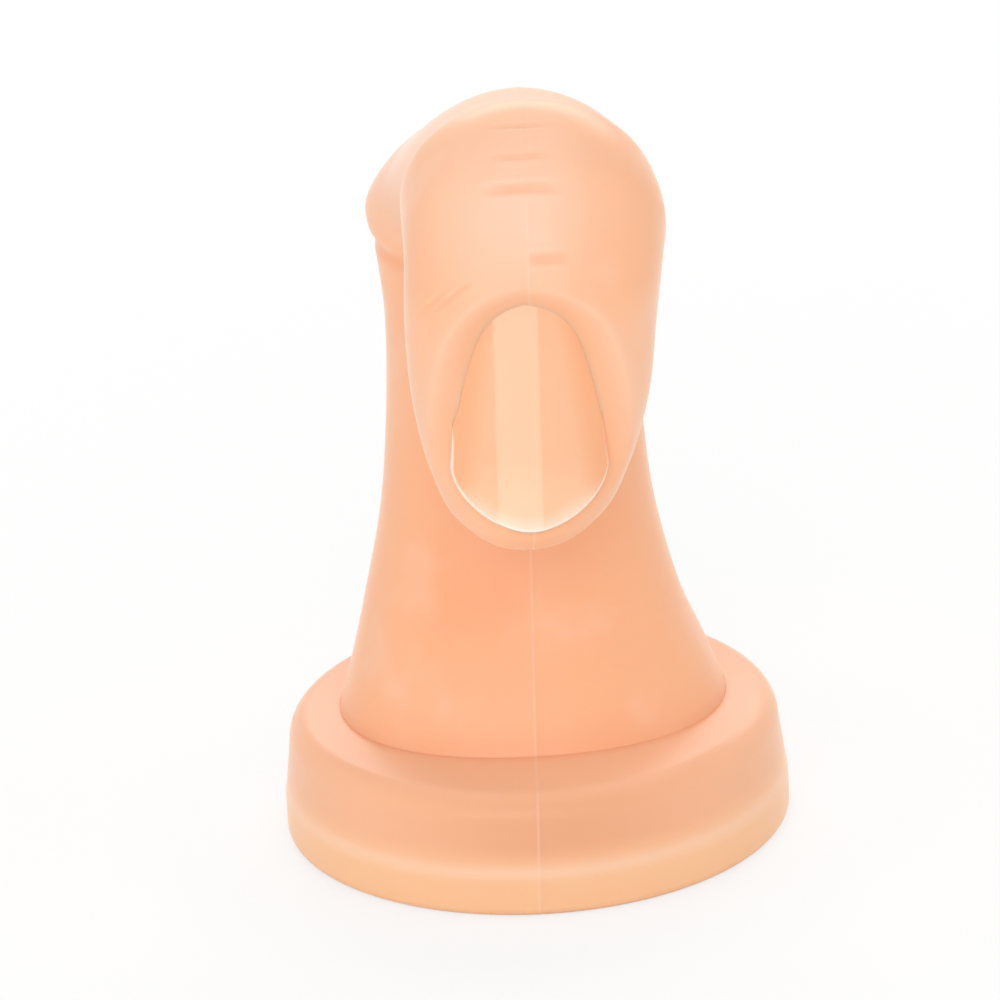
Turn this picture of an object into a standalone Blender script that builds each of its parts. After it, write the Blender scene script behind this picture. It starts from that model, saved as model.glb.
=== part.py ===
# Practice finger for nail work: a soft, one-piece finger on a round plinth,
# with a hard nail tip that slides into a pocket under the nail fold.
# Metres, +Z up. The origin is the centre of the plinth's underside, and the
# nail faces -Y.

from math import asin, cos, pi, radians, sin

import bmesh
import bpy
from mathutils import Vector

# Driving sizes of the moulding
OVERALL_HEIGHT = 0.0480
PLINTH_RADIUS = 0.0150
PLINTH_HEIGHT = 0.0079
HOOK_DEPTH = 0.0300
FINGER_WIDTH = 0.0150

# Plinth profile
FOOT_ROUND = 0.0007
FOOT_BAND_HEIGHT = 0.0029
BAND_STEP = 0.00012
WALL_DRAFT = 0.0003
SHOULDER_ROUND = 0.0021
LEDGE_WIDTH = 0.0006
LEDGE_RISE = 0.0001
ROOT_DEPTH_SHARE = 0.90

# Nail tip
NAIL_WIDTH = 0.0093
NAIL_SHOWN = 0.0131
NAIL_HIDDEN = 0.0032
NAIL_THICKNESS = 0.0005
NAIL_CURVE_RADIUS = 0.0064
FREE_EDGE_DEPTH = 0.0039
ROOT_EDGE_DEPTH = 0.0018
ROOT_WIDTH_SHARE = 0.80
WIDENING_LENGTH = 0.0045
NAIL_CLEARANCE = 0.0003
CUTICLE_SHIFT = -0.0003

# Nail fold around the tip
FOLD_RISE = 0.0008
EDGE_STAND = 0.0006
CUTICLE_ARCH = 0.0095
FOLD_SLOPE_WIDTH = 0.0011
FOLD_SLOPE_HEIGHT = 0.0016
CUT_OVERRUN = 0.0040

# Walls of the nail fold, from the nail's edge outwards, as shares of the
# fold's width and height
WALL_SHARES = ((0.35, 0.50), (1.00, 1.00), (2.40, 2.60))

# Outline of the cuticle: how far along its arch, and how wide open it is
ARCH_SHARES = (
    (0.000, 0.13),
    (0.012, 0.25),
    (0.040, 0.37),
    (0.100, 0.49),
    (0.220, 0.63),
    (0.400, 0.76),
    (0.620, 0.87),
    (0.830, 0.95),
    (1.000, 1.00),
)

# How square the outlines are, where 2 is a plain ellipse
PALM_SQUARE_SHARE = 2.2
FREE_EDGE_SQUARE_SHARE = 1.7

# Facets
RING_SEGMENTS = 44
SPAN_STEPS = 3
ROUND_STEPS = 4
NAIL_ARC_STEPS = 12
NAIL_EDGE_STEPS = 6

FINGER_RISE = OVERALL_HEIGHT - PLINTH_HEIGHT
WALL_TOP_RADIUS = PLINTH_RADIUS - BAND_STEP - WALL_DRAFT
ROOT_HALF_WIDTH = WALL_TOP_RADIUS - SHOULDER_ROUND - LEDGE_WIDTH
ROOT_HALF_DEPTH = ROOT_HALF_WIDTH * ROOT_DEPTH_SHARE
ROOT_HEIGHT = PLINTH_HEIGHT + LEDGE_RISE

# The stem between the plinth and the neck: how far up, how much of the
# flare is left, how far it has leaned back, and its drift to the side
STEM_SHARES = (
    (0.00, 1.00, 0.00, 0.000),
    (0.16, 0.75, 0.10, 0.007),
    (0.36, 0.44, 0.32, -0.010),
    (0.67, 0.14, 0.67, -0.018),
)

# The hooked finger from the neck to the fingertip. Each row is one section:
# the point on its back (y, z), the point on its palm side (y, z), its half
# width, its drift to the side and the squareness of its outline. Depths are
# shares of the hook's depth, heights of the finger's rise over the plinth,
# widths and drifts of the finger's width.
HOOK_SHARES = (
    (0.360, 0.444, -0.080, 0.399, 0.507, -0.010, 2.2),
    (0.407, 0.583, -0.020, 0.530, 0.500, 0.000, 2.2),
    (0.452, 0.679, 0.017, 0.606, 0.527, 0.010, 2.0),
    (0.475, 0.790, 0.023, 0.639, 0.551, 0.011, 1.85),
    (0.404, 0.839, 0.012, 0.657, 0.515, 0.043, 1.85),
    (0.275, 0.888, -0.005, 0.664, 0.484, 0.060, 1.85),
    (0.122, 0.920, -0.020, 0.667, 0.462, 0.066, 1.85),
    (-0.038, 0.956, -0.033, 0.664, 0.466, 0.070, 1.9),
    (-0.176, 0.999, -0.047, 0.658, 0.491, 0.080, 2.0),
    (-0.300, 0.966, -0.058, 0.649, 0.509, 0.100, 2.15),
    (-0.363, 0.899, -0.070, 0.636, 0.503, 0.095, 2.4),
    (-0.430, 0.745, -0.100, 0.601, 0.493, 0.073, 2.4),
    (-0.463, 0.636, -0.150, 0.525, 0.467, 0.060, 2.3),
    (-0.493, 0.535, -0.207, 0.457, 0.407, 0.045, 2.2),
    (-0.513, 0.465, -0.273, 0.402, 0.320, 0.033, 2.1),
    (-0.520, 0.424, -0.347, 0.379, 0.220, 0.027, 2.0),
    (-0.509, 0.399, -0.410, 0.374, 0.120, 0.023, 2.0),
    (-0.488, 0.386, -0.435, 0.378, 0.040, 0.023, 2.0),
)
CUTICLE_ROW = 11
FREE_EDGE_ROW = 14


def clear_scene():
    for old in list(bpy.data.objects):
        bpy.data.objects.remove(old, do_unlink=True)


def finish_material(name, colour, roughness, metallic):
    material = bpy.data.materials.new(name)
    material.use_nodes = True
    shader = material.node_tree.nodes["Principled BSDF"]
    shader.inputs["Base Color"].default_value = (*colour, 1.0)
    shader.inputs["Roughness"].default_value = roughness
    shader.inputs["Metallic"].default_value = metallic
    return material


def add_ring(bm, points):
    """One closed ring of vertices through the given points."""
    made = bmesh.ops.create_circle(bm, segments=len(points), radius=1.0)
    ring = made["verts"]
    for vertex, point in zip(ring, points):
        vertex.co = point
    return ring


def ring_edges(ring):
    members = set(ring)
    edges = {edge for vertex in ring for edge in vertex.link_edges}
    return [edge for edge in edges if members.issuperset(edge.verts)]


def loft(bm, outlines):
    """Bridges the outlines in turn and closes both ends."""
    rings = [add_ring(bm, outline) for outline in outlines]
    edges = [ring_edges(ring) for ring in rings]
    for lower, upper in zip(edges, edges[1:]):
        bmesh.ops.bridge_loops(bm, edges=lower + upper)
    for rim in (edges[0], edges[-1]):
        bmesh.ops.contextual_create(bm, geom=rim)
    bmesh.ops.recalc_face_normals(bm, faces=bm.faces[:])


def make_object(name, bm, material):
    mesh = bpy.data.meshes.new(name)
    bm.to_mesh(mesh)
    bm.free()
    mesh.shade_smooth()
    mesh.set_sharp_from_angle(angle=radians(40))
    mesh.materials.append(material)
    made = bpy.data.objects.new(name, mesh)
    bpy.context.scene.collection.objects.link(made)
    return made


def cut(target, cutter):
    cutter.hide_render = True
    cutter.display_type = "WIRE"
    difference = target.modifiers.new(cutter.name, "BOOLEAN")
    difference.operation = "DIFFERENCE"
    difference.solver = "EXACT"
    difference.object = cutter


def arc(centre, radius, start, stop, steps):
    """Points on a quarter or other arc, as (radius, height) pairs."""
    points = []
    for step in range(steps + 1):
        angle = radians(start + (stop - start) * step / steps)
        points.append((centre[0] + radius * cos(angle), centre[1] + radius * sin(angle)))
    return points


def plinth_profile():
    """Half profile from the underside to the ledge round the stem."""
    foot = arc((PLINTH_RADIUS - FOOT_ROUND, FOOT_ROUND), FOOT_ROUND, -90, 0, ROUND_STEPS)
    band = [
        (PLINTH_RADIUS, FOOT_BAND_HEIGHT),
        (PLINTH_RADIUS - BAND_STEP, FOOT_BAND_HEIGHT + BAND_STEP),
    ]
    shoulder_centre = (WALL_TOP_RADIUS - SHOULDER_ROUND, PLINTH_HEIGHT - SHOULDER_ROUND)
    shoulder = arc(shoulder_centre, SHOULDER_ROUND, 0, 90, ROUND_STEPS)
    return foot + band + shoulder


def plinth_outlines():
    outlines = []
    for radius, height in plinth_profile():
        outline = []
        for step in range(RING_SEGMENTS):
            angle = 2 * pi * step / RING_SEGMENTS
            outline.append(Vector((radius * sin(angle), -radius * cos(angle), height)))
        outlines.append(outline)
    return outlines


def hook_rows():
    """Sections from the neck to the tip: back y, back z, palm y, palm z,
    half width, drift, squareness."""
    rows = []
    for back_y, back_z, palm_y, palm_z, half, drift, square in HOOK_SHARES:
        rows.append((
            back_y * HOOK_DEPTH,
            PLINTH_HEIGHT + back_z * FINGER_RISE,
            palm_y * HOOK_DEPTH,
            PLINTH_HEIGHT + palm_z * FINGER_RISE,
            half * FINGER_WIDTH,
            drift * FINGER_WIDTH,
            square,
        ))
    return rows


def stem_rows(neck):
    """Sections of the stem, blended from its root on the plinth to the neck."""
    back_y, back_z, palm_y, palm_z, neck_half, _, square = neck
    neck_y = (back_y + palm_y) / 2
    neck_z = (back_z + palm_z) / 2
    neck_depth = (back_y - palm_y) / 2
    neck_slope = (back_z - palm_z) / 2
    rows = []
    for rise, flare, lean, drift in STEM_SHARES:
        middle_z = ROOT_HEIGHT + rise * (neck_z - ROOT_HEIGHT)
        depth = neck_depth + flare * (ROOT_HALF_DEPTH - neck_depth)
        rows.append((
            lean * neck_y + depth,
            middle_z + rise * neck_slope,
            lean * neck_y - depth,
            middle_z - rise * neck_slope,
            neck_half + flare * (ROOT_HALF_WIDTH - neck_half),
            drift * FINGER_WIDTH,
            square,
        ))
    return rows


def smooth_rows(rows):
    """The rows with smooth steps between them, through every given row."""
    smooth = []
    last = len(rows) - 1
    for index in range(last):
        before = rows[max(index - 1, 0)]
        start = rows[index]
        stop = rows[index + 1]
        after = rows[min(index + 2, last)]
        for step in range(SPAN_STEPS):
            t = step / SPAN_STEPS
            row = []
            for a, b, c, d in zip(before, start, stop, after):
                row.append(0.5 * (2 * b + (c - a) * t + (2 * a - 5 * b + 4 * c - d) * t ** 2
                                  + (3 * b - a - 3 * c + d) * t ** 3))
            smooth.append(tuple(row))
    smooth.append(rows[last])
    return smooth


def rounded(share, square):
    """A cosine or sine drawn out towards a squarer outline."""
    return abs(share) ** (2 / square) * (1 if share > 0 else -1)


def section_outline(row):
    """One closed section of the finger: a rounded, slightly square outline."""
    back_y, back_z, palm_y, palm_z, half, drift, square = row
    middle = Vector((drift, (back_y + palm_y) / 2, (back_z + palm_z) / 2))
    to_back = Vector((0, (back_y - palm_y) / 2, (back_z - palm_z) / 2))
    outline = []
    for step in range(RING_SEGMENTS):
        angle = 2 * pi * step / RING_SEGMENTS
        squareness = square if cos(angle) < 0 else PALM_SQUARE_SHARE
        across = half * rounded(sin(angle), squareness)
        along = -rounded(cos(angle), squareness)
        outline.append(middle + Vector((across, 0, 0)) + to_back * along)
    return outline


def back_point(row):
    return Vector((row[5], row[0], row[1]))


def nail_frame(rows):
    """Where the nail lies: the point on its top at the cuticle, the way
    towards the free edge, the way out of the skin and the way across."""
    cuticle = back_point(rows[CUTICLE_ROW]) + Vector((CUTICLE_SHIFT, 0, 0))
    edge = back_point(rows[FREE_EDGE_ROW])
    across = Vector((1, 0, 0))
    along = (edge - cuticle).normalized()
    out = along.cross(across).normalized()
    start = cuticle - out * FOLD_RISE
    stop = edge + out * EDGE_STAND
    along = (stop - start).normalized()
    across = (across - along * across.dot(along)).normalized()
    out = along.cross(across)
    return start, along, out, across


def on_nail(frame, along_by, across_by, out_by):
    start, along, out, across = frame
    return start + along * along_by + across * across_by + out * out_by


def curved_row(frame, along_by, half, radius):
    """Points across the nail, at one radius about the axis it curves round."""
    limit = asin(half / NAIL_CURVE_RADIUS)
    row = []
    for step in range(NAIL_ARC_STEPS + 1):
        angle = limit * (2 * step / NAIL_ARC_STEPS - 1)
        height = radius * cos(angle) - NAIL_CURVE_RADIUS
        row.append(on_nail(frame, along_by, radius * sin(angle), height))
    return row


def plate_outline(frame, along_by, half, outer, inner):
    """Section of a curved plate."""
    top = curved_row(frame, along_by, half, outer)
    under = curved_row(frame, along_by, half, inner)
    return top + under[::-1]


def arch_share(place):
    """How wide open the cuticle is, at a place along the nail."""
    along = place / CUTICLE_ARCH
    for (low, narrow), (high, wide) in zip(ARCH_SHARES, ARCH_SHARES[1:]):
        if along <= high:
            return narrow + (wide - narrow) * (along - low) / (high - low)
    return ARCH_SHARES[-1][1]


def window_outline(frame, along_by, half, lift, spreads):
    """Section of the cut that opens the nail fold: the nail's curve below,
    sloping walls at both sides, and a ridge well clear of the skin."""
    radius = NAIL_CURVE_RADIUS + lift
    limit = asin(half / NAIL_CURVE_RADIUS)
    right = []
    left = []
    for spread, (_, high) in zip(spreads, WALL_SHARES):
        across = radius * sin(limit) + spread
        height = radius * cos(limit) - NAIL_CURVE_RADIUS + high * FOLD_SLOPE_HEIGHT
        right.append(on_nail(frame, along_by, across, height))
        left.append(on_nail(frame, along_by, -across, height))
    ridge = on_nail(frame, along_by, 0, CUT_OVERRUN + FOLD_SLOPE_HEIGHT)
    return curved_row(frame, along_by, half, radius) + right + [ridge] + left[::-1]


def nail_plan(margin):
    """Half widths along the nail, from its rounded root to where its free
    edge begins, with an even margin all round."""
    half = NAIL_WIDTH / 2 + margin
    root_half = half * ROOT_WIDTH_SHARE
    root_end = -NAIL_HIDDEN - margin
    plan = []
    for step in range(1, NAIL_EDGE_STEPS + 1):
        angle = radians(90) * step / NAIL_EDGE_STEPS
        plan.append((root_end + ROOT_EDGE_DEPTH * (1 - cos(angle)), root_half * sin(angle)))
    plan.append((WIDENING_LENGTH, half))
    plan.append((NAIL_SHOWN - FREE_EDGE_DEPTH, half))
    return plan


def build_nail(frame, material):
    """The nail tip: a thin curved plate with a rounded root and free edge."""
    plan = nail_plan(0)
    for step in range(1, NAIL_EDGE_STEPS):
        angle = radians(90) * step / NAIL_EDGE_STEPS
        reach = rounded(sin(angle), FREE_EDGE_SQUARE_SHARE)
        wide = rounded(cos(angle), FREE_EDGE_SQUARE_SHARE)
        plan.append((NAIL_SHOWN - FREE_EDGE_DEPTH * (1 - reach), NAIL_WIDTH / 2 * wide))
    under = NAIL_CURVE_RADIUS - NAIL_THICKNESS
    outlines = [plate_outline(frame, place, half, NAIL_CURVE_RADIUS, under) for place, half in plan]
    bm = bmesh.new()
    loft(bm, outlines)
    return make_object("nail_tip", bm, material)


def build_bed_cutter(frame, material):
    """Cuts the nail bed and the pocket that takes the nail's root."""
    half = NAIL_WIDTH / 2 + NAIL_CLEARANCE
    roof = NAIL_CURVE_RADIUS + NAIL_CLEARANCE
    floor = NAIL_CURVE_RADIUS - NAIL_THICKNESS - NAIL_CLEARANCE
    plan = nail_plan(NAIL_CLEARANCE)
    plan.append((NAIL_SHOWN + CUT_OVERRUN, half))
    outlines = [plate_outline(frame, place, wide, roof, floor) for place, wide in plan]
    bm = bmesh.new()
    loft(bm, outlines)
    return make_object("bed_cutter", bm, material)


def build_window_cutter(frame, material):
    """Cuts the skin away over the nail, inside the cuticle and the folds."""
    half = NAIL_WIDTH / 2 + NAIL_CLEARANCE
    even = [wide * FOLD_SLOPE_WIDTH for wide, _ in WALL_SHARES]
    brow_half = half * ARCH_SHARES[0][1]
    outlines = [window_outline(frame, -FOLD_SLOPE_WIDTH, brow_half, FOLD_SLOPE_HEIGHT, even)]
    for share, wide in ARCH_SHARES:
        place = share * CUTICLE_ARCH
        spreads = [max(spread, half * (arch_share(place + spread) - wide)) for spread in even]
        outlines.append(window_outline(frame, place, wide * half, 0, spreads))
    tail_half = half + NAIL_CLEARANCE
    sink = -NAIL_THICKNESS
    for place in (NAIL_SHOWN, NAIL_SHOWN + CUT_OVERRUN):
        outlines.append(window_outline(frame, place, tail_half, sink, even))
    bm = bmesh.new()
    loft(bm, outlines)
    return make_object("window_cutter", bm, material)


def build_finger(rows, material):
    """Plinth, stem and hooked finger in one piece."""
    bm = bmesh.new()
    loft(bm, plinth_outlines() + [section_outline(row) for row in smooth_rows(rows)])
    return make_object("finger", bm, material)


def main():
    clear_scene()
    skin = finish_material("skin_rubber", (0.93, 0.58, 0.37), 0.45, 0.0)
    nail_plastic = finish_material("nail_plastic", (0.94, 0.68, 0.48), 0.15, 0.0)
    hook = hook_rows()
    frame = nail_frame(hook)
    finger = build_finger(stem_rows(hook[0]) + hook, skin)
    cut(finger, build_window_cutter(frame, skin))
    cut(finger, build_bed_cutter(frame, skin))
    build_nail(frame, nail_plastic)


main()
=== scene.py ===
from math import asin, copysign, cos, exp, hypot, pi, radians, sin

import bmesh
import bpy
from mathutils import Matrix, Vector
from mathutils.kdtree import KDTree


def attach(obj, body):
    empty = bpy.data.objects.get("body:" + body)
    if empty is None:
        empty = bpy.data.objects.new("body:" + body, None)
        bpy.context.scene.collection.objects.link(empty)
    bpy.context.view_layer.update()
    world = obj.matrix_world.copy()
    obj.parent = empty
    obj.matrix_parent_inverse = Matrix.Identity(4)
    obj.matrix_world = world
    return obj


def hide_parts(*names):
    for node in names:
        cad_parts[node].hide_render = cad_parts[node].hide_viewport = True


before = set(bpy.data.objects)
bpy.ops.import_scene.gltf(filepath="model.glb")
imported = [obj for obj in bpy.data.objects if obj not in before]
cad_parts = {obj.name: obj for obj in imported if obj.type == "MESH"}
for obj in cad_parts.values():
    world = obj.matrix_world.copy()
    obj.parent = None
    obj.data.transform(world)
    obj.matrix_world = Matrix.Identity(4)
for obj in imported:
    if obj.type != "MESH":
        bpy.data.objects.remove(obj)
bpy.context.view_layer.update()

# The finger: plinth, flared stem and hooked fingertip, one moulding of soft,
# translucent, skin-coloured plastic. It comes out of a two-half mould, whose
# parting line runs all round it, and it has a seat and a pocket for a nail.

OVERALL_HEIGHT = 0.0480
PLINTH_RADIUS = 0.0150
PLINTH_HEIGHT = 0.0079
HOOK_DEPTH = 0.0300
FINGER_WIDTH = 0.0150
FINGER_RISE = OVERALL_HEIGHT - PLINTH_HEIGHT
FOOT_ROUND = 0.0007
FOOT_BAND_HEIGHT = 0.0029
BAND_STEP = 0.00011
WALL_DRAFT = 0.0003
BAND_BLEND = 0.0008
BAND_BLEND_BELOW = 0.6
BAND_STEPS = 12
SHOULDER_ROUND = 0.0017
LEDGE_WIDTH = 0.0014
LEDGE_RISE = 0.00040
SHOULDER_TURN = 72
GROOVE_WIDTH = 0.00010
GROOVE_DEPTH = 0.00004
ROOT_DEPTH_SHARE = 0.80
PALM_SQUARENESS = 2.2
WALL_TOP_RADIUS = PLINTH_RADIUS - BAND_STEP - WALL_DRAFT
ROOT_HALF_WIDTH = WALL_TOP_RADIUS - SHOULDER_ROUND - LEDGE_WIDTH
ROOT_HALF_DEPTH = ROOT_HALF_WIDTH * ROOT_DEPTH_SHARE
ROOT_Z = PLINTH_HEIGHT - GROOVE_DEPTH

# The parting line: where it crosses the floor, its lean and its size, and the
# small nub of flash on it at the back of the stem
SEAM_FOOT = -0.0003
SEAM_LEAN = 0.036
SEAM_HALF_WIDTH = 0.00007
SEAM_RISE = 0.00002
NUB_Z = 0.0238
NUB_RISE = 0.00012
NUB_HALF_LENGTH = 0.0003

# Points round each section, and how they crowd towards the back of the finger
SIDE_STEPS = 96
CROWDING = 0.11

# Stem, upwards from its root, in shares: rise to the neck, flare that is left,
# lean back and drift to the side
STEM = (
    (0.00, 1.00, 0.00, 0.003),
    (0.16, 0.76, 0.10, -0.004),
    (0.36, 0.46, 0.32, -0.020),
    (0.67, 0.14, 0.67, -0.018),
)
STEM_STEPS = 10

# Hook, from the neck round to the fingertip: back y and z and palm y and z in
# shares, half width, drift to the side, squareness, steps to the next row
HOOK = (
    (0.360, 0.444, -0.080, 0.399, 0.507, -0.010, 2.2, 10),
    (0.407, 0.583, -0.020, 0.530, 0.500, 0.000, 2.2, 18),
    (0.452, 0.679, 0.017, 0.606, 0.527, 0.010, 2.0, 24),
    (0.475, 0.790, 0.023, 0.639, 0.551, 0.011, 1.85, 16),
    (0.404, 0.839, 0.012, 0.657, 0.515, 0.043, 1.85, 10),
    (0.275, 0.888, -0.005, 0.664, 0.484, 0.060, 1.85, 10),
    (0.122, 0.920, -0.020, 0.667, 0.462, 0.066, 1.85, 10),
    (-0.038, 0.956, -0.033, 0.664, 0.466, 0.070, 1.9, 14),
    (-0.176, 0.999, -0.047, 0.658, 0.500, 0.089, 2.0, 30),
    (-0.300, 0.966, -0.058, 0.649, 0.516, 0.107, 2.15, 30),
    (-0.363, 0.899, -0.070, 0.636, 0.508, 0.100, 2.4, 40),
    (-0.430, 0.745, -0.100, 0.601, 0.493, 0.073, 2.4, 34),
    (-0.463, 0.636, -0.150, 0.525, 0.467, 0.060, 2.3, 28),
    (-0.493, 0.535, -0.207, 0.457, 0.407, 0.045, 2.2, 20),
    (-0.513, 0.465, -0.273, 0.402, 0.320, 0.033, 2.1, 12),
    (-0.520, 0.424, -0.347, 0.379, 0.220, 0.027, 2.0, 9),
    (-0.509, 0.399, -0.410, 0.374, 0.120, 0.023, 2.0, 8),
    (-0.488, 0.386, -0.435, 0.378, 0.040, 0.023, 2.0, 8),
)
# Rows of the hook at the cuticle and at the nail's free edge
CUTICLE_ROW = 11
FREE_EDGE_ROW = 14


def ring_through(bm, points):
    """A closed ring of edges through these points."""
    made = bmesh.ops.create_circle(bm, segments=len(points), radius=1.0)
    for vertex, point in zip(made["verts"], points):
        vertex.co = point
    return list({edge for vertex in made["verts"] for edge in vertex.link_edges})


def bridge_rings(bm, outlines):
    """A closed skin over a row of outlines, with a cap on each end."""
    rings = [ring_through(bm, outline) for outline in outlines]
    for lower, upper in zip(rings, rings[1:]):
        bmesh.ops.bridge_loops(bm, edges=lower + upper)
    for rim in (rings[0], rings[-1]):
        bmesh.ops.contextual_create(bm, geom=rim)
    bmesh.ops.recalc_face_normals(bm, faces=bm.faces[:])


def smoothstep(t):
    t = min(1.0, max(0.0, t))
    return t * t * (3 - 2 * t)


def corner(centre, radius, start, stop, steps):
    turns = [radians(start + (stop - start) * step / steps) for step in range(steps + 1)]
    return [(centre[0] + radius * cos(turn), centre[1] + radius * sin(turn)) for turn in turns]


def plinth_sections():
    """From the flat underside, up the wall, to the ledge round the stem."""
    foot = [(share * (PLINTH_RADIUS - FOOT_ROUND), 0) for share in (0.25, 0.5, 0.75, 0.9)]
    foot += corner((PLINTH_RADIUS - FOOT_ROUND, FOOT_ROUND), FOOT_ROUND, -90, 0, 8)
    foot += [(PLINTH_RADIUS, FOOT_ROUND * 2)]
    for step in range(BAND_STEPS + 1):
        share = step / BAND_STEPS
        foot.append((
            PLINTH_RADIUS - BAND_STEP * smoothstep(share),
            FOOT_BAND_HEIGHT + BAND_BLEND * (share - BAND_BLEND_BELOW),
        ))
    wall_foot = PLINTH_RADIUS - BAND_STEP
    wall_z = FOOT_BAND_HEIGHT + BAND_BLEND * (1 - BAND_BLEND_BELOW)
    shoulder_z = PLINTH_HEIGHT - LEDGE_RISE - SHOULDER_ROUND * sin(radians(SHOULDER_TURN))
    wall = [
        (
            wall_foot + (WALL_TOP_RADIUS - wall_foot) * share,
            wall_z + (shoulder_z - wall_z) * share,
        )
        for share in (0.06, 0.3, 0.6)
    ]
    shoulder_centre = (WALL_TOP_RADIUS - SHOULDER_ROUND, shoulder_z)
    shoulder = corner(shoulder_centre, SHOULDER_ROUND, 0, SHOULDER_TURN, 16)
    return [
        (radius, height, -radius, height, radius, 0, 2.0, 2.0)
        for radius, height in foot + wall + shoulder
    ]


def ledge_sections(plinth_top, root):
    """The ledge, which rises to the lip of the groove round the stem."""
    sections = []
    lip = list(root)
    lip[0] += GROOVE_WIDTH
    lip[2] -= GROOVE_WIDTH
    lip[4] += GROOVE_WIDTH
    lip[1] = lip[3] = PLINTH_HEIGHT
    for share in (0.12, 0.3, 0.5, 0.7, 0.88, 1.0):
        sections.append([a + (b - a) * share for a, b in zip(plinth_top, lip)])
    return sections


def finger_rows():
    """Sections from the root of the stem to the fingertip."""
    hook = []
    for back_y, back_z, palm_y, palm_z, half, drift, square, _ in HOOK:
        hook.append((
            back_y * HOOK_DEPTH,
            PLINTH_HEIGHT + back_z * FINGER_RISE,
            palm_y * HOOK_DEPTH,
            PLINTH_HEIGHT + palm_z * FINGER_RISE,
            half * FINGER_WIDTH,
            drift * FINGER_WIDTH,
            square,
            PALM_SQUARENESS,
        ))
    back_y, back_z, palm_y, palm_z, neck_half = hook[0][:5]
    neck_y, neck_z = (back_y + palm_y) / 2, (back_z + palm_z) / 2
    neck_depth, neck_slope = (back_y - palm_y) / 2, (back_z - palm_z) / 2
    stem = []
    for rise, flare, lean, drift in STEM:
        middle_z = ROOT_Z + rise * (neck_z - ROOT_Z)
        depth = neck_depth + flare * (ROOT_HALF_DEPTH - neck_depth)
        stem.append((
            lean * neck_y + depth,
            middle_z + rise * neck_slope,
            lean * neck_y - depth,
            middle_z - rise * neck_slope,
            neck_half + flare * (ROOT_HALF_WIDTH - neck_half),
            drift * FINGER_WIDTH,
            PALM_SQUARENESS,
            PALM_SQUARENESS,
        ))
    return stem + hook


def smooth_through(rows, steps):
    """Rows in between the given ones, on a smooth curve through them all."""
    smooth = []
    last = len(rows) - 1
    for index in range(last):
        before, after = rows[max(index - 1, 0)], rows[min(index + 2, last)]
        around = (before, rows[index], rows[index + 1], after)
        for step in range(steps[index]):
            t = step / steps[index]
            smooth.append([
                0.5 * (2 * b + (c - a) * t + (2 * a - 5 * b + 4 * c - d) * t ** 2
                       + (3 * b - a - 3 * c + d) * t ** 3)
                for a, b, c, d in zip(*around)
            ])
    smooth.append(rows[last])
    return smooth


def squared(share, square):
    """A sine or cosine drawn out towards a square: 2 leaves it round."""
    return copysign(abs(share) ** (2 / square), share)


def turn_at(share, square):
    """The turn at which an outline is at this share of its half width."""
    share = max(-0.9, min(0.9, share))
    return asin(copysign(abs(share) ** (square / 2), share))


def section_outline(row):
    """One section, with three points close together at each parting line."""
    back_y, back_z, palm_y, palm_z, half, drift, back_square, palm_square = row
    palm_seam = SEAM_FOOT + SEAM_LEAN * palm_z - drift
    back_seam = SEAM_FOOT + SEAM_LEAN * back_z - drift
    beside = (-SEAM_HALF_WIDTH, 0, SEAM_HALF_WIDTH)
    palm = [turn_at((palm_seam + by) / half, palm_square) for by in beside]
    back = [pi - turn_at((back_seam - by) / half, back_square) for by in beside]
    turns = list(palm)
    for step in range(1, SIDE_STEPS):
        share = step / SIDE_STEPS
        turns.append(palm[2] + (back[0] - palm[2]) * (share + CROWDING * sin(pi * share)))
    turns += back
    for step in range(1, SIDE_STEPS):
        share = step / SIDE_STEPS
        turns.append(
            back[2] + (2 * pi + palm[0] - back[2]) * (share - CROWDING * sin(pi * share))
        )
    middle = Vector((drift, (back_y + palm_y) / 2, (back_z + palm_z) / 2))
    to_back = Vector((0, (back_y - palm_y) / 2, (back_z - palm_z) / 2))
    outline = []
    for turn in turns:
        side = back_square if cos(turn) < 0 else palm_square
        across = half * squared(sin(turn), side)
        outline.append(middle + Vector((across, 0, 0)) - to_back * squared(cos(turn), side))
    outward = to_back.normalized()
    nub = NUB_RISE * exp(-((back_z - NUB_Z) / NUB_HALF_LENGTH) ** 2)
    outline[1] -= outward * SEAM_RISE
    outline[SIDE_STEPS + 3] += outward * (SEAM_RISE + nub)
    return outline


# The nail, which the fold and the pocket in the skin are shaped round
NAIL_WIDTH = 0.0093
NAIL_SHOWN = 0.0131
NAIL_HIDDEN = 0.0032
NAIL_THICKNESS = 0.0005
NAIL_CURVE_RADIUS = 0.0064
FREE_EDGE_DEPTH = 0.0039
FREE_EDGE_SQUARENESS = 1.7
ROOT_EDGE_DEPTH = 0.0018
ROOT_WIDTH_SHARE = 0.80
CORNER_BY = NAIL_SHOWN - FREE_EDGE_DEPTH
SNUG = 0.00001

# How the nail lies: under the fold at the cuticle, proud of the fingertip
FOLD_RISE = 0.0008
EDGE_STAND = 0.0006
CUTICLE_SHIFT = -0.0003

# The arch of the cuticle, which is fuller on the right than on the left
CUTICLE_LEAD = 0.00020
ARCH_POWERS = {-1: 0.33, 1: 0.27}
ARCH_CAP = 0.0005
ARCH_CAP_POWER = 0.42

# The fold round the nail: a valley beside the nail and a low ridge beyond it,
# both gone by the end of the nail's sides
FOLD_WIDTH = 0.00100
FOLD_RIDGE = 0.00014
FOLD_END = (0.0056, 0.0092)
VALLEY_HALF_WIDTH = 0.0006
VALLEY_SHADE = 0.8
RIDGE_HALF_WIDTH = 0.0004
RIDGE_FROM_MIDDLE = 0.0035
BED_LIFT_DEPTH = 0.0016
SHAPED_FROM, SHAPED_TO, SHAPED_BELOW = -0.004, 0.018, -0.0045

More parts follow.
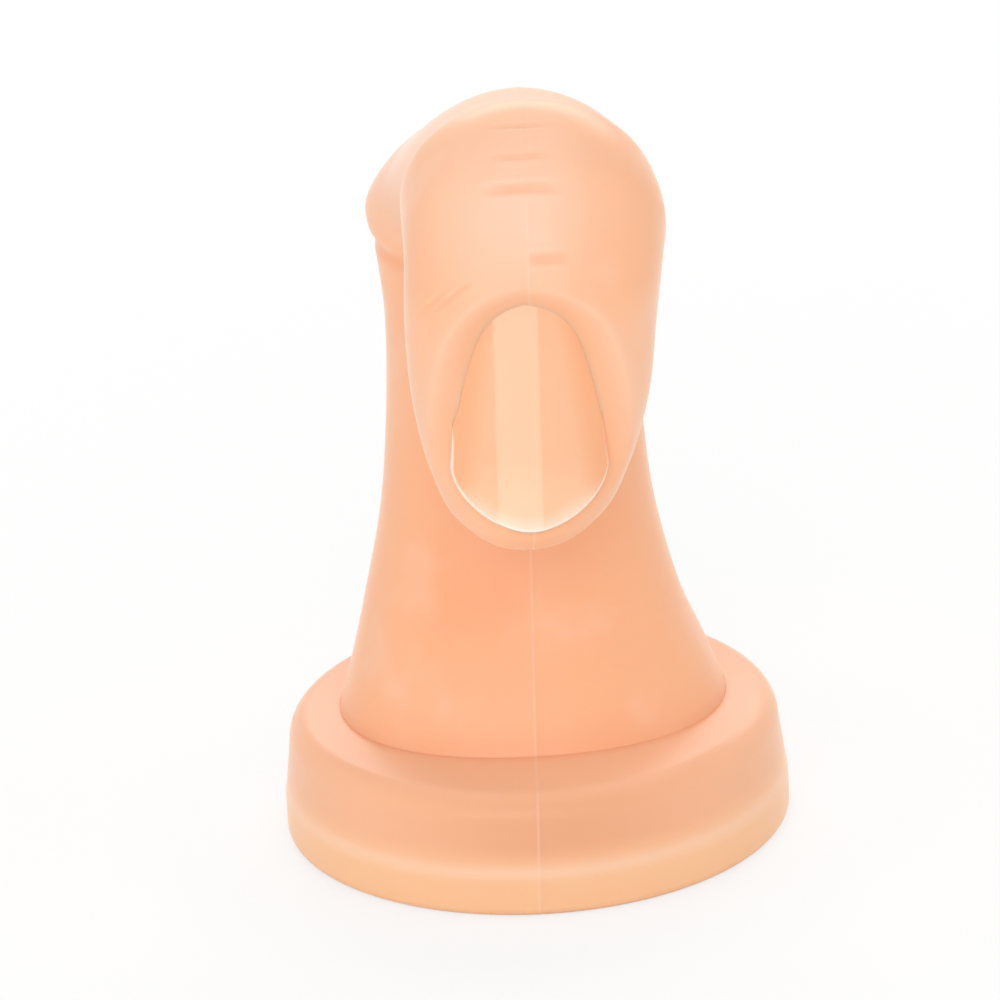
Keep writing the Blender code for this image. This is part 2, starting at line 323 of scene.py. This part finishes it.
rows = finger_rows()
steps = [STEM_STEPS] * len(STEM) + [row[7] for row in HOOK]
cuticle_row = rows[len(STEM) + CUTICLE_ROW]
edge_row = rows[len(STEM) + FREE_EDGE_ROW]

# The nail's own directions, from a point on its top at the cuticle
cuticle = Vector((cuticle_row[5] + CUTICLE_SHIFT, cuticle_row[0], cuticle_row[1]))
free_edge = Vector((edge_row[5], edge_row[0], edge_row[1]))
out = (free_edge - cuticle).normalized().cross(Vector((1, 0, 0))).normalized()
nail_start = cuticle - out * FOLD_RISE
nail_along = (free_edge + out * EDGE_STAND - nail_start).normalized()
nail_across = Vector((1, 0, 0))
nail_across = (nail_across - nail_along * nail_across.dot(nail_along)).normalized()
nail_out = nail_along.cross(nail_across)


def open_half(along_by, side):
    """Half width of the nail that the skin leaves in sight, on one side."""
    half = NAIL_WIDTH / 2 + SNUG
    beyond = (along_by - CORNER_BY) / (FREE_EDGE_DEPTH + SNUG)
    if beyond > 0:
        return half * max(0, 1 - beyond ** FREE_EDGE_SQUARENESS) ** (1 / FREE_EDGE_SQUARENESS)
    lead = max(0, along_by + CUTICLE_LEAD)
    arch = (lead / (CORNER_BY + CUTICLE_LEAD)) ** ARCH_POWERS[side]
    return half * arch * (1 - exp(-lead / ARCH_CAP)) ** ARCH_CAP_POWER


# Points along the opening's edge, closer together at the cuticle and the end
ARCH_STEPS = 240
END_STEPS = 300
opening = []
for step in range(ARCH_STEPS + END_STEPS + 1):
    if step <= ARCH_STEPS:
        along_by = -CUTICLE_LEAD + (CORNER_BY + CUTICLE_LEAD) * (step / ARCH_STEPS) ** 3
    else:
        turn = radians(90) * (step - ARCH_STEPS) / END_STEPS
        along_by = CORNER_BY + (FREE_EDGE_DEPTH + SNUG) * sin(turn)
    for side in (-1, 1):
        opening.append(Vector((side * open_half(along_by, side), along_by, 0)))
opening_tree = KDTree(len(opening))
for index, point in enumerate(opening):
    opening_tree.insert(point, index)
opening_tree.balance()


def shape_nail_fold(point):
    """Opens the skin over the nail, with a soft rounded fold round it.

    Returns the new place, and how hollow it is: over 0 in the valley beside
    the nail and under 0 on the ridge of the fold.
    """
    offset = point - nail_start
    along_by = offset.dot(nail_along)
    across_by = offset.dot(nail_across)
    out_by = offset.dot(nail_out)
    if out_by < SHAPED_BELOW or along_by < SHAPED_FROM or along_by > SHAPED_TO:
        return point, 0
    reach = hypot(across_by, out_by + NAIL_CURVE_RADIUS)
    height = reach - NAIL_CURVE_RADIUS
    turn_x = across_by / reach
    turn_z = (out_by + NAIL_CURVE_RADIUS) / reach
    place = Vector((turn_x * NAIL_CURVE_RADIUS, along_by, 0))
    distance = opening_tree.find(place)[2]
    open_share = smoothstep((along_by - FOLD_END[0]) / (FOLD_END[1] - FOLD_END[0]))
    brink = -(NAIL_THICKNESS + SNUG * 2) * open_share
    inside = abs(place.x) < open_half(along_by, -1 if place.x < 0 else 1)
    away = min(1, distance / FOLD_WIDTH)
    if inside:
        wanted = min(height, brink - SNUG * 4 * (1 - open_share))
        hollow = 0
    else:
        wanted = min(height, brink + (height - brink) * (smoothstep(away) * 0.6 + away * 0.4))
        valley = exp(-(distance / VALLEY_HALF_WIDTH) ** 2)
        hollow = VALLEY_SHADE * valley * (1 - open_share * 0.5)
        if height > 0:
            at_side = smoothstep(abs(place.x) / RIDGE_FROM_MIDDLE) * (1 - open_share)
            ridge = exp(-((distance - FOLD_WIDTH) / RIDGE_HALF_WIDTH) ** 2) * at_side
            wanted += FOLD_RIDGE * ridge
            hollow -= VALLEY_SHADE * ridge
    if height < brink:
        drop = brink - height
        beside = 1 if inside else smoothstep(1 - away * 0.7)
        lift = smoothstep(1 - drop / BED_LIFT_DEPTH) * beside
        wanted = height + drop * lift * open_share
    return point + (nail_across * turn_x + nail_out * turn_z) * (wanted - height), hollow


# Wrinkles over the end joint: place (y, z), outward at that place (y, z),
# middle and half length in x, slant, depth, half width
WRINKLES = (
    ((-0.0079, 0.0474), (-0.43, 0.90), 0.0010, 0.0015, 0.0, 0.00007, 0.00012),
    ((-0.0093, 0.0461), (-0.66, 0.75), 0.0010, 0.0015, 0.0, 0.00009, 0.00021),
    ((-0.01065, 0.0446), (-0.86, 0.50), 0.0010, 0.0019, 0.0, 0.00013, 0.00029),
    ((-0.0124, 0.0408), (-0.97, 0.25), 0.0024, 0.0011, 0.0, 0.00012, 0.00030),
    ((-0.0119, 0.0385), (-0.97, 0.25), -0.0034, 0.0011, 0.7, 0.00009, 0.00018),
    ((-0.0117, 0.0382), (-0.97, 0.25), -0.0045, 0.0009, 0.7, 0.00007, 0.00018),
)
ACROSS_WRINKLES = (0.39, 0.92)
FULL_SHADE_DEPTH = 0.00016


def shape_wrinkles(point):
    """Sinks the wrinkles into the skin; returns the place and how hollow it is."""
    hollow = 0
    push = Vector((0, 0, 0))
    for (y, z), outward, middle_x, half_x, slant, depth, width in WRINKLES:
        by_x = point.x - middle_x
        away = (point.y - y) * ACROSS_WRINKLES[0] + (point.z - z) * ACROSS_WRINKLES[1]
        away -= slant * by_x
        if abs(away) > width * 5 or abs(by_x) > half_x * 1.8:
            continue
        ends = exp(-(by_x / half_x) ** 4)
        lips = exp(-((abs(away) - 1.9 * width) / (0.6 * width)) ** 2)
        groove = exp(-(away / width) ** 4) - 0.5 * lips
        push -= Vector((0, outward[0], outward[1])) * depth * ends * groove
        hollow += ends * groove * depth / FULL_SHADE_DEPTH
    return point + push, hollow


# The crease where the finger bends, on the palm side and up both sides
FLEX_Z = 0.0345
FLEX_SLOPE = 0.09
FLEX_DEPTH = 0.00034
FLEX_WIDTH = 0.00045
FLEX_LIP = (0.0016, 0.0010)
FLEX_ENDS_Y = (0.0120, 0.0080)
FLEX_SHADE_BELOW = 0.0022
FLEX_BAND = (0.028, 0.0395)
BEND_MIDDLE_Y = 0.007


def shape_flexion(point):
    """Presses in the crease at the bend; returns the place and how hollow it is."""
    away = point.z - FLEX_Z - FLEX_SLOPE * point.y
    fade = smoothstep((FLEX_ENDS_Y[0] - point.y) / (FLEX_ENDS_Y[0] - FLEX_ENDS_Y[1]))
    lip = exp(-((away - FLEX_LIP[0]) / FLEX_LIP[1]) ** 2)
    groove = exp(-(away / FLEX_WIDTH) ** 2) - 0.6 * lip
    inward = Vector((-point.x, BEND_MIDDLE_Y - point.y, 0)).normalized()
    hollow = exp(-(away / FLEX_WIDTH) ** 2)
    if away < 0:
        hollow = max(hollow, 0.7 * exp(away / FLEX_SHADE_BELOW))
    return point + inward * FLEX_DEPTH * groove * fade, hollow * fade


# The shade of the crease between plinth and stem, which reaches up the stem
# further than out over the ledge
ROOT_SHADE_WIDTH = 0.0005
ROOT_SHADE_UPWARDS = 0.35


def root_hollow(point):
    """How hollow the crease between plinth and stem is at this point."""
    beyond = hypot((point.x - rows[0][5]) / ROOT_HALF_WIDTH, point.y / ROOT_HALF_DEPTH) - 1
    beside = max(0, beyond) * ROOT_HALF_DEPTH
    above = max(0, point.z - ROOT_Z) * ROOT_SHADE_UPWARDS
    return exp(-(hypot(beside, above) / ROOT_SHADE_WIDTH) ** 2)


# Front of this y and above the stem's foot is the fingertip's skin
FRONT_Y = -0.0015

bm = bmesh.new()
# How hollow each point is, which the skin's colour turns into painted shade in the hollows and
# a painted highlight on the fold's ridge
hollow_layer = bm.verts.layers.float.new("hollow")
plinth = plinth_sections()
sections = plinth + ledge_sections(plinth[-1], rows[0]) + smooth_through(rows, steps)
bridge_rings(bm, [section_outline(section) for section in sections])
for vertex in bm.verts:
    if vertex.co.y < FRONT_Y and vertex.co.z > PLINTH_HEIGHT * 2:
        vertex.co, wrinkle_hollow = shape_wrinkles(vertex.co)
        vertex.co, fold_hollow = shape_nail_fold(vertex.co)
        vertex[hollow_layer] = wrinkle_hollow + fold_hollow
    elif FLEX_BAND[0] < vertex.co.z < FLEX_BAND[1]:
        vertex.co, vertex[hollow_layer] = shape_flexion(vertex.co)
    elif vertex.co.z < PLINTH_HEIGHT * 1.5:
        vertex[hollow_layer] = root_hollow(vertex.co)
finger_mesh = bpy.data.meshes.new("finger_skin")
bm.to_mesh(finger_mesh)
bm.free()
finger_mesh.shade_smooth()
finger = bpy.data.objects.new("finger_skin", finger_mesh)
bpy.context.scene.collection.objects.link(finger)


def nail_point(along_by, across_by, out_by):
    """A place told in the nail's own directions."""
    return nail_start + nail_along * along_by + nail_across * across_by + nail_out * out_by


def curved_row(along_by, half, radius, steps):
    """Points across the nail, on its curve."""
    limit = asin(half / NAIL_CURVE_RADIUS)
    turns = [limit * (2 * step / steps - 1) for step in range(steps + 1)]
    return [
        nail_point(along_by, radius * sin(turn), radius * cos(turn) - NAIL_CURVE_RADIUS)
        for turn in turns
    ]


def plate_outline(along_by, half, outer, inner, steps=40):
    """Round a cut across the nail: over its top and back along its underside."""
    top = curved_row(along_by, half, outer, steps)
    return top + curved_row(along_by, half, inner, steps)[::-1]


def nail_plan(margin, steps=14):
    """Half widths along the nail, from its rounded root to the free edge."""
    half = NAIL_WIDTH / 2 + margin
    plan = []
    for step in range(1, steps + 1):
        turn = radians(90) * step / steps
        along_by = -NAIL_HIDDEN - margin + ROOT_EDGE_DEPTH * (1 - cos(turn))
        plan.append((along_by, half * ROOT_WIDTH_SHARE * sin(turn)))
    root_along, root_half = plan[-1]
    for step in range(1, 9):
        share = step / 8
        plan.append((
            root_along + (CORNER_BY - root_along) * share,
            root_half + (half - root_half) * share,
        ))
    return plan


def carve(piece, cutter):
    """Cuts the cutter out of the piece, and keeps the cut mesh.

    The exact solver turns this cut inside out, and the manifold one doesn't.
    """
    cut = piece.modifiers.new("pocket", "BOOLEAN")
    cut.operation, cut.solver, cut.object = "DIFFERENCE", "MANIFOLD", cutter
    depsgraph = bpy.context.evaluated_depsgraph_get()
    carved = bpy.data.meshes.new_from_object(
        piece.evaluated_get(depsgraph), preserve_all_data_layers=True, depsgraph=depsgraph
    )
    piece.modifiers.remove(cut)
    bpy.data.objects.remove(cutter, do_unlink=True)
    piece.data = carved


# The pocket that takes the nail's root, and the bed that the nail lies in
bm = bmesh.new()
bridge_rings(bm, [
    plate_outline(
        place, half, NAIL_CURVE_RADIUS + SNUG, NAIL_CURVE_RADIUS - NAIL_THICKNESS - SNUG
    )
    for place, half in nail_plan(SNUG)
])
pocket_mesh = bpy.data.meshes.new("pocket")
bm.to_mesh(pocket_mesh)
bm.free()
pocket = bpy.data.objects.new("pocket", pocket_mesh)
bpy.context.scene.collection.objects.link(pocket)
carve(finger, pocket)
finger.data.set_sharp_from_angle(angle=radians(60))
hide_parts("finger")
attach(finger, "finger")


# Shader maths: a socket that takes part in Python expressions
class Wire:
    def __init__(self, nodes, socket):
        self.nodes, self.socket = nodes, socket

    def maths(self, operation, *values):
        sockets = {str(place): value for place, value in enumerate(values)}
        return add_node(self.nodes, "ShaderNodeMath", {"operation": operation}, 0, **sockets)

    def __add__(self, other):
        return self.maths("ADD", self, other)

    __radd__ = __add__

    def __mul__(self, other):
        return self.maths("MULTIPLY", self, other)

    __rmul__ = __mul__

    def __sub__(self, other):
        return self.maths("SUBTRACT", self, other)

    def __rsub__(self, other):
        return self.maths("SUBTRACT", other, self)

    def __pow__(self, power):
        return self.maths("POWER", self, power)

    def __abs__(self):
        return self.maths("ABSOLUTE", self)

    def at_least(self, least):
        return self.maths("MAXIMUM", self, least)


def put(nodes, socket, value):
    """Links a wire to a socket, or sets a plain value on it."""
    if isinstance(value, Wire):
        nodes.id_data.links.new(value.socket, socket)
    else:
        socket.default_value = value


def add_node(nodes, kind, settings=None, output=0, **sockets):
    """Any node: its type, its settings, then the values of its sockets."""
    made = nodes.new(kind)
    for name, value in (settings or {}).items():
        setattr(made, name, value)
    for name, value in sockets.items():
        key = int(name) if name.isdigit() else name.replace("_", " ")
        put(nodes, made.inputs[key], value)
    return Wire(nodes, made.outputs[output])


def new_material(name):
    material = bpy.data.materials.new(name)
    material.use_nodes = True
    nodes = material.node_tree.nodes
    return material, nodes, nodes["Principled BSDF"]


def ramp(value, low, high):
    """0 at low, 1 at high, smooth between."""
    settings = {"interpolation_type": "SMOOTHSTEP"}
    return add_node(
        value.nodes, "ShaderNodeMapRange", settings, Value=value, From_Min=low, From_Max=high
    )


def blend(factor, first, second):
    """The first colour where the factor is 0, the second where it is 1."""
    colours = {"0": factor, "6": first, "7": second}
    return add_node(factor.nodes, "ShaderNodeMix", {"data_type": "RGBA"}, 2, **colours)


def object_place(nodes):
    """The place on the object, in metres."""
    return add_node(nodes, "ShaderNodeTexCoord", output=3)


def near(nodes, where, place, radius):
    """1 at a place, fading to 0 at this distance from it."""
    ends = {"0": where, "1": place}
    away = add_node(nodes, "ShaderNodeVectorMath", {"operation": "DISTANCE"}, 1, **ends)
    return ramp(away, radius, 0)


# The skin's own tones, and darker and paler copies of them that paint shade and light
SKIN = (0.99, 0.525, 0.315, 1.0)
SKIN_SHADED = (0.955, 0.465, 0.248, 1.0)
SKIN_DEEP_SHADE = (0.96, 0.390, 0.180, 1.0)
SKIN_PALE_AND_HIGHLIGHT = (0.99, 0.690, 0.570, 1.0)
WALL_SHADE_TONE = (0.915, 0.480, 0.280, 1.0)
FRONT_SHADE_TONE = (0.840, 0.412, 0.225, 1.0)
FOOT_BOUNCE_TONE = (0.96, 0.550, 0.310, 1.0)

# Patches of painted shade and painted light on the moulding: the middle of each patch and its
# reach
UNDER_TIP_SHADE = ((-0.0028, -0.0056, 0.0164), 0.0062)
KNUCKLE_HIGHLIGHT = ((-0.0060, 0.0100, 0.0420), 0.0110)
END_JOINT_HIGHLIGHT = ((0.0005, -0.0105, 0.0440), 0.0090)
FRONT_WALL_SHADE = ((0.0010, -0.0146, 0.0050), 0.0130)
FRONT_LEDGE_LIGHT = ((0.0000, -0.0122, 0.0078), 0.0085)

skin, nodes, shader = new_material("skin_rubber")
where = object_place(nodes)
x = add_node(nodes, "ShaderNodeSeparateXYZ", output=0, Vector=where)
z = add_node(nodes, "ShaderNodeSeparateXYZ", output=2, Vector=where)
cloud = add_node(nodes, "ShaderNodeTexNoise", Vector=where, Scale=85.0, Detail=3.0)
hollow = add_node(nodes, "ShaderNodeAttribute", {"attribute_name": "hollow"}, 2)

# Painted shade, warmer and darker low on the finger and on the sides of the end joint; soft
# paler patches at random; painted shade under the fingertip and painted highlights on the bent
# joints
from_seam = x - z * SEAM_LEAN - SEAM_FOOT
seam_highlight = ramp(abs(from_seam), 0.00011, 0.00004)
lower_shade = ramp(z + cloud * 0.012, 0.0400, 0.0260) * 0.85
colour = blend(lower_shade, SKIN, SKIN_SHADED)
flank_shade = ramp(abs(x), 0.0022, 0.0060) * ramp(z, 0.0362, 0.0388)
colour = blend(flank_shade * 0.55, colour, SKIN_SHADED)
patches = add_node(nodes, "ShaderNodeTexNoise", Vector=where, Scale=230.0, Detail=2.0)
colour = blend(ramp(patches, 0.50, 0.80) * 0.25, colour, SKIN_PALE_AND_HIGHLIGHT)
under_tip_shade = near(nodes, where, *UNDER_TIP_SHADE) * ramp(from_seam, 0.00008, -0.00008)
colour = blend(under_tip_shade * 0.55, colour, SKIN_DEEP_SHADE)
colour = blend(near(nodes, where, *KNUCKLE_HIGHLIGHT) * 0.75, colour, SKIN_PALE_AND_HIGHLIGHT)
colour = blend(near(nodes, where, *END_JOINT_HIGHLIGHT) * 0.40, colour, SKIN_PALE_AND_HIGHLIGHT)

# The plinth: painted shade on its wall, deepest at the front, and on the sides of its ledge;
# painted light on the front of the ledge, under the fingertip; painted bounce light from the
# floor on the band at its foot, and a painted highlight on the line above that
colour = blend(ramp(z, 0.0095, 0.0076), colour, WALL_SHADE_TONE)
front_wall_shade = near(nodes, where, *FRONT_WALL_SHADE) * ramp(z, 0.0076, 0.0066)
colour = blend(front_wall_shade, colour, FRONT_SHADE_TONE)
ledge_share = ramp(z, 0.0070, 0.0077) * ramp(z, 0.0086, 0.0080)
colour = blend(ledge_share * ramp(abs(x), 0.0070, 0.0115) * 0.8, colour, FRONT_SHADE_TONE)
colour = blend(ledge_share * near(nodes, where, *FRONT_LEDGE_LIGHT) * 0.9, colour, SKIN)
colour = blend(ramp(z, 0.0046, 0.0026), colour, FOOT_BOUNCE_TONE)
foot_highlight_line = ramp(abs(z - FOOT_BAND_HEIGHT), 0.0008, 0.0)
colour = blend(foot_highlight_line * 0.30, colour, SKIN_PALE_AND_HIGHLIGHT)

# Painted shade in the creases, and painted highlights on the fold's ridge and along the parting
# line
colour = blend(hollow * 0.40, colour, SKIN_DEEP_SHADE)
colour = blend(hollow * -0.25, colour, SKIN_PALE_AND_HIGHLIGHT)
colour = blend(seam_highlight * ramp(z, 0.0450, 0.0430) * 0.22, colour, SKIN_PALE_AND_HIGHLIGHT)

# The finish: a satin, slightly cloudy rubber with a fine moulded grain
put(nodes, shader.inputs["Base Color"], colour)
put(nodes, shader.inputs["Roughness"], cloud * 0.10 + 0.34)
shader.inputs["Subsurface Weight"].default_value = 0.35
shader.inputs["Subsurface Radius"].default_value = (0.8, 0.5, 0.35)
shader.inputs["Subsurface Scale"].default_value = 0.0005
shader.inputs["Specular IOR Level"].default_value = 0.5
shader.inputs["Sheen Weight"].default_value = 0.50
shader.inputs["Sheen Roughness"].default_value = 0.30
shader.inputs["Sheen Tint"].default_value = (1.0, 0.86, 0.76, 1.0)
grain = add_node(nodes, "ShaderNodeTexNoise", Vector=where, Scale=900.0, Detail=2.0)
bump = add_node(nodes, "ShaderNodeBump", Strength=0.12, Distance=0.00004, Height=grain)
put(nodes, shader.inputs["Normal"], bump)
finger.data.materials.clear()
finger.data.materials.append(skin)

# The nail tip: a press-on nail of hard, clear-tinted plastic, pushed under
# the cuticle. It is glossy, its free edge is a little rough, and the pale rim along it is
# partly its own and partly a painted highlight.

EDGE_SOFTENING = 0.00005
FREE_EDGE_STEPS = 24

plan = nail_plan(0)
for step in range(1, FREE_EDGE_STEPS):
    turn = radians(90) * step / FREE_EDGE_STEPS
    reach = squared(sin(turn), FREE_EDGE_SQUARENESS)
    plan.append((
        NAIL_SHOWN - FREE_EDGE_DEPTH * (1 - reach),
        NAIL_WIDTH / 2 * squared(cos(turn), FREE_EDGE_SQUARENESS),
    ))
bm = bmesh.new()
bridge_rings(bm, [
    plate_outline(place, half, NAIL_CURVE_RADIUS, NAIL_CURVE_RADIUS - NAIL_THICKNESS)
    for place, half in plan
])
rim = [edge for edge in bm.edges if edge.calc_face_angle(0) > radians(50)]
bmesh.ops.bevel(
    bm, geom=rim, offset=EDGE_SOFTENING, segments=2, affect="EDGES", profile=0.5, material=-1
)
nail_mesh = bpy.data.meshes.new("nail_plate")
bm.to_mesh(nail_mesh)
bm.free()
nail_mesh.shade_smooth()
nail = bpy.data.objects.new("nail_plate", nail_mesh)
bpy.context.scene.collection.objects.link(nail)
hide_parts("nail_tip")
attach(nail, "nail_tip")

NAIL_TINT = (0.98, 0.520, 0.300, 1.0)
NAIL_SIDE = (0.97, 0.430, 0.205, 1.0)
NAIL_LOW = (0.98, 0.570, 0.340, 1.0)
NAIL_EDGE_AND_HIGHLIGHT = (0.99, 0.780, 0.640, 1.0)

plastic, nodes, shader = new_material("nail_plastic")
where = object_place(nodes)


def measured(nodes, where, way):
    """Distance from the cuticle point in one direction."""
    product = add_node(
        nodes, "ShaderNodeVectorMath", {"operation": "DOT_PRODUCT"}, 1, **{"0": where, "1": way}
    )
    return product - nail_start.dot(way)


# Warmer at the sides, and pale in a thin uneven rim along the free edge: partly the edge's own
# rough cut, partly a painted highlight
along_it = measured(nodes, where, nail_along)
across_it = abs(measured(nodes, where, nail_across))
streak = add_node(nodes, "ShaderNodeTexNoise", Vector=where, Scale=260.0, Detail=2.0)
colour = blend(ramp(along_it, 0.0085, 0.0116), NAIL_TINT, NAIL_LOW)
colour = blend(ramp(across_it + along_it * -0.12, 0.0014, 0.0030) * 0.8, colour, NAIL_SIDE)
beyond = ((along_it - CORNER_BY) * (1 / FREE_EDGE_DEPTH)).at_least(0)
to_side = across_it * (2 / NAIL_WIDTH)
to_edge = beyond ** FREE_EDGE_SQUARENESS + to_side ** FREE_EDGE_SQUARENESS
colour = blend(ramp(to_edge, 0.55, 1.0) * ramp(beyond, 0.1, 0.8) * 0.7, colour, NAIL_EDGE_AND_HIGHLIGHT)
uneven = streak * 0.16 - measured(nodes, where, nail_across) * 6
colour = blend(ramp(to_edge + uneven, 1.00, 1.04), colour, NAIL_EDGE_AND_HIGHLIGHT)
put(nodes, shader.inputs["Base Color"], colour)
shader.inputs["Roughness"].default_value = 0.10
shader.inputs["Coat Weight"].default_value = 0.4
shader.inputs["Coat Roughness"].default_value = 0.04
shader.inputs["Subsurface Weight"].default_value = 0.4
shader.inputs["Subsurface Radius"].default_value = (0.7, 0.5, 0.4)
shader.inputs["Subsurface Scale"].default_value = 0.0003
nail_mesh.materials.append(plastic)

# The table, the light and the camera: a white sweep, with the softbox in front
# that shows as the stripe on the nail, and five more all round. The ones at
# the sides and the fill stay out of the reflections.

FLOOR_DROP = 0.00002
SHADOW_REACH = 0.30
GLOW_NEAR, GLOW_GROWTH = 0.72, 0.26

floor_mesh = bpy.data.meshes.new("floor")
bm = bmesh.new()
bmesh.ops.create_grid(bm, x_segments=1, y_segments=1, size=1.5)
bmesh.ops.translate(bm, verts=bm.verts, vec=(0, 0, -FLOOR_DROP))
bm.to_mesh(floor_mesh)
bm.free()
floor = bpy.data.objects.new("floor", floor_mesh)
bpy.context.scene.collection.objects.link(floor)
paper, nodes, shader = new_material("floor")
shader.inputs["Base Color"].default_value = (0.93, 0.93, 0.93, 1)
shader.inputs["Roughness"].default_value = 0.9
shader.inputs["Specular IOR Level"].default_value = 0.1
glow = add_node(nodes, "ShaderNodeEmission")
where = object_place(nodes)
beyond_shadow = 1 - near(nodes, where, (0, 0, 0), SHADOW_REACH)
seen = add_node(nodes, "ShaderNodeLightPath", output=0)
seen_share = seen * (beyond_shadow * GLOW_GROWTH + GLOW_NEAR)
faces = {"0": seen_share, "1": Wire(nodes, shader.outputs[0]), "2": glow}
white_floor = add_node(nodes, "ShaderNodeMixShader", **faces)
put(nodes, nodes["Material Output"].inputs["Surface"], white_floor)
floor_mesh.materials.append(paper)

world = bpy.data.worlds.new("studio")
bpy.context.scene.world = world
world.use_nodes = True
nodes = world.node_tree.nodes
ground = nodes["Background"]
ground.inputs["Color"].default_value = (1.0, 1.0, 1.0, 1)
ground.inputs["Strength"].default_value = 0.56
white = add_node(nodes, "ShaderNodeBackground", Color=(1.0, 1.0, 1.0, 1), Strength=1.0)
seen = add_node(nodes, "ShaderNodeLightPath", output=0)
mirrored = add_node(nodes, "ShaderNodeLightPath", output=3)
faces = {"0": seen + mirrored, "1": Wire(nodes, ground.outputs[0]), "2": white}
sweep = add_node(nodes, "ShaderNodeMixShader", **faces)
put(nodes, nodes["World Output"].inputs["Surface"], sweep)


def softbox(name, place, aim, width, height, watts):
    """A soft lamp at this place, turned to the point that it lights."""
    lamp = bpy.data.lights.new(name, "AREA")
    lamp.shape = "RECTANGLE"
    lamp.size, lamp.size_y = width, height
    lamp.energy = watts
    made = bpy.data.objects.new(name, lamp)
    made.location = place
    made.rotation_euler = (Vector(aim) - Vector(place)).to_track_quat("-Z", "Y").to_euler()
    bpy.context.scene.collection.objects.link(made)


softbox("front", (-0.096, -0.50, 0.17), (0, 0, 0.03), 0.45, 0.26, 0.56)
softbox("above", (0.06, 0.05, 0.55), (0, 0, 0.02), 0.40, 0.40, 0.36)
softbox("behind", (0.05, 0.45, 0.30), (0, 0, 0.04), 0.60, 0.20, 1.2)
softbox("left", (-0.50, -0.12, 0.16), (0, 0, 0.02), 0.24, 0.40, 0.36)
softbox("right", (0.50, -0.08, 0.16), (0, 0, 0.02), 0.24, 0.40, 0.25)
softbox("fill", (0, -0.45, 0.36), (0, 0, 0.01), 0.40, 0.20, 0.48)
for name in ("left", "right", "fill"):
    bpy.data.objects[name].visible_glossy = False

# The camera: its downward tilt and roll, how far off it stands, and the pixel
# of the photo's frame, 1000 wide and high, that shows the middle of the foot
FRAME_SIDE = 1000
SENSOR_WIDTH = 36
ELEVATION = radians(22.8)
ROLL = radians(3.2)
DISTANCE = 1.1
PIXELS_PER_METRE = 16740
ORIGIN_X, ORIGIN_Y = 539.0, 815.5
ahead = Vector((0, cos(ELEVATION), -sin(ELEVATION)))
level_up = Vector((0, sin(ELEVATION), cos(ELEVATION)))
level_right = Vector((1, 0, 0))
half_frame = FRAME_SIDE / 2
camera_up = level_up * cos(ROLL) + level_right * sin(ROLL)
camera_right = level_right * cos(ROLL) - level_up * sin(ROLL)
lens = bpy.data.cameras.new("camera")
lens.sensor_width = SENSOR_WIDTH
lens.lens = SENSOR_WIDTH * DISTANCE * PIXELS_PER_METRE / FRAME_SIDE
lens.clip_start, lens.clip_end = 0.01, 10
camera = bpy.data.objects.new("camera", lens)
aim = camera_right * (half_frame - ORIGIN_X) - camera_up * (half_frame - ORIGIN_Y)
aim /= PIXELS_PER_METRE
camera.matrix_world = Matrix.Translation(aim - ahead * DISTANCE) @ Matrix(
    (camera_right, camera_up, -ahead)
).transposed().to_4x4()
bpy.context.scene.collection.objects.link(camera)
bpy.context.scene.camera = camera
bpy.context.scene.view_settings.view_transform = "Standard"
